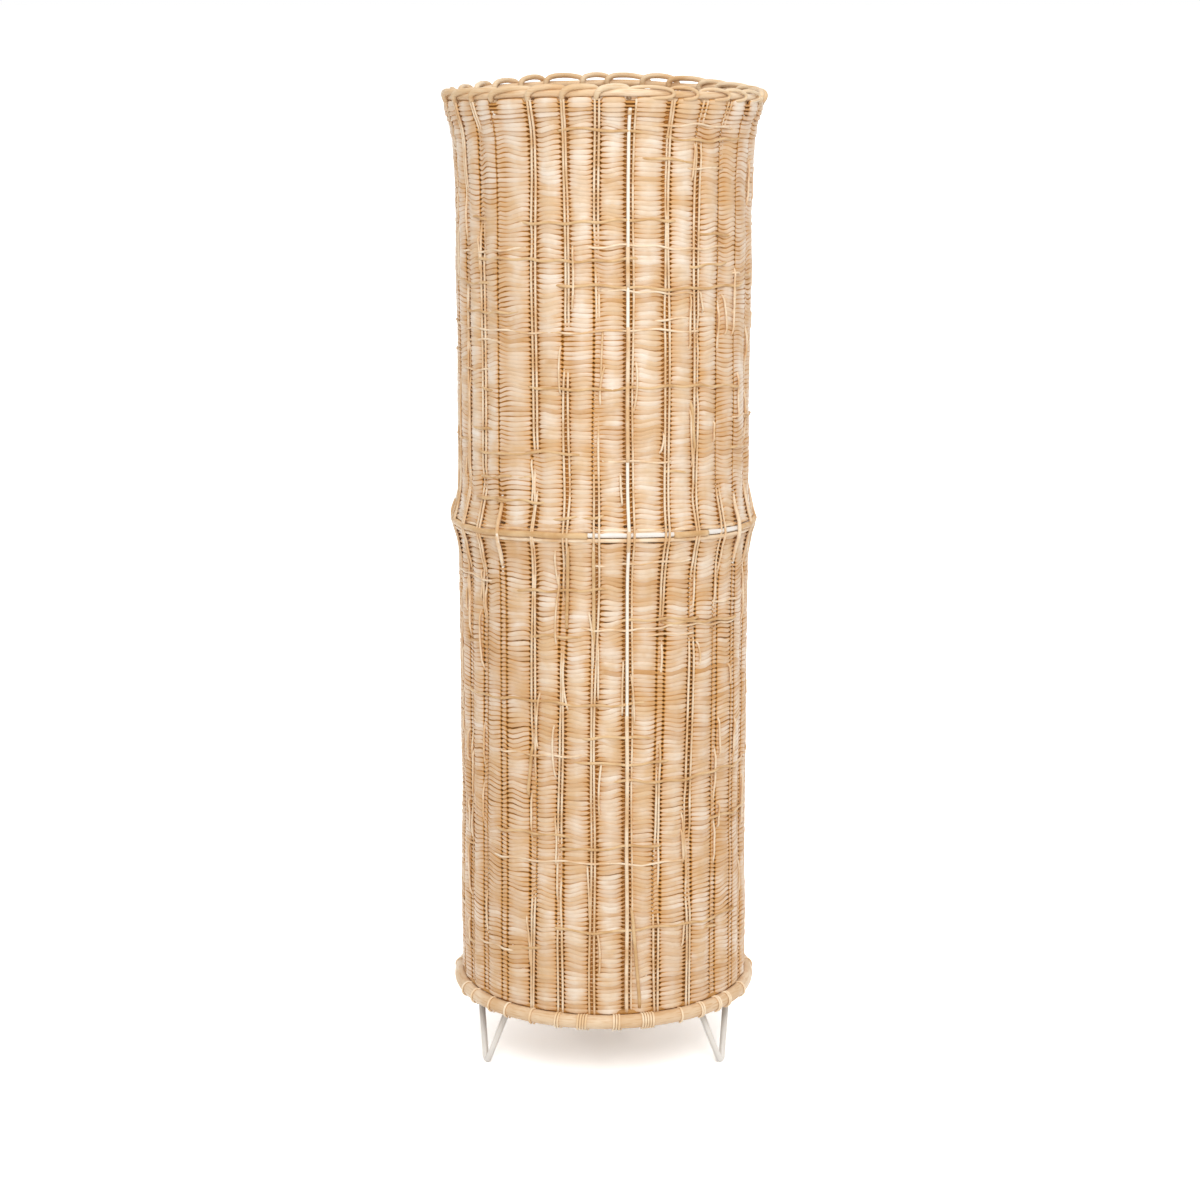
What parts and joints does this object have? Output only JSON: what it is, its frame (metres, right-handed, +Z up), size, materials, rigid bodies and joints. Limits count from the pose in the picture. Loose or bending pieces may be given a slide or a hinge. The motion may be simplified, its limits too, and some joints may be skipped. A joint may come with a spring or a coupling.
{
  "type": "floor lamp",
  "caption": "Tall column floor lamp of woven rattan over a white steel frame, with a flared scalloped mouth, a collar at mid height and short hairpin legs.",
  "frame": {"origin": "on the floor under the middle of the column", "axes": "+Z up along the column, -Y the front of the picture, +X to its right"},
  "size_m": [0.3198, 0.3198, 0.9998],
  "materials": {
    "weave_cane": "peeled rattan, cream to straw, satin with small bright glints",
    "border_cane": "peeled rattan, straw, satin",
    "hoop_cane": "thick peach-tan cane, satin",
    "strap_cane": "split cane, pale straw, satin",
    "white_steel": "white paint, semi-gloss",
    "holder_plastic": "white moulded plastic",
    "black_plastic": "black moulded plastic",
    "ceramic": "white unglazed ceramic",
    "brass": "plain brass",
    "bulb_metal": "rolled screw cap, bright",
    "opal_glass": "opal glass, unlit"
  },
  "bodies": {
    "lamp": {"base_hoop": "hoop_cane", "rim_cane": "hoop_cane", "rim_border": "border_cane", "weave_lower": "weave_cane", "weave_upper": "weave_cane", "base_strap_1": "strap_cane", "base_strap_2": "strap_cane", "base_strap_3": "strap_cane", "base_strap_4": "strap_cane", "base_strap_5": "strap_cane", "base_strap_6": "strap_cane", "base_strap_7": "strap_cane", "base_strap_8": "strap_cane", "base_strap_9": "strap_cane", "base_strap_10": "strap_cane", "base_strap_11": "strap_cane", "base_strap_12": "strap_cane", "base_strap_13": "strap_cane", "base_strap_14": "strap_cane", "base_strap_15": "strap_cane", "base_strap_16": "strap_cane", "base_strap_17": "strap_cane", "base_strap_18": "strap_cane", "base_strap_19": "strap_cane", "base_strap_20": "strap_cane", "base_strap_21": "strap_cane", "frame_base_ring": "white_steel", "frame_collar_ring": "white_steel", "frame_upright_1": "white_steel", "frame_upright_2": "white_steel", "frame_upright_3": "white_steel", "frame_upright_4": "white_steel", "frame_upright_5": "white_steel", "frame_upright_6": "white_steel", "frame_upright_7": "white_steel", "leg_right": "white_steel", "leg_back": "white_steel", "leg_left": "white_steel", "spider_arm_1": "white_steel", "spider_arm_2": "white_steel", "spider_arm_3": "white_steel", "spider_plate": "white_steel", "holder_cap": "holder_plastic", "holder_skirt": "holder_plastic", "cord_inlet_bush": "black_plastic", "holder_insert": "ceramic", "holder_centre_contact": "brass", "holder_side_contact": "brass", "terminal_screw_1": "brass", "terminal_screw_2": "brass"},
    "clamp_ring": {"holder_clamp_ring": "holder_plastic"},
    "bulb": {"bulb_button": "bulb_metal", "bulb_insulator": "black_plastic", "bulb_screw_cap": "bulb_metal", "bulb_glass": "opal_glass"}
  },
  "joints": [
    {"name": "clamp_ring_unscrew", "type": "slide", "parent": "lamp", "child": "clamp_ring", "axis": [0, 0, 1], "range_m": [0, 0.03]},
    {"name": "bulb_unscrew", "type": "slide", "parent": "lamp", "child": "bulb", "axis": [0, 0, 1], "range_m": [0, 0.1]}
  ]
}
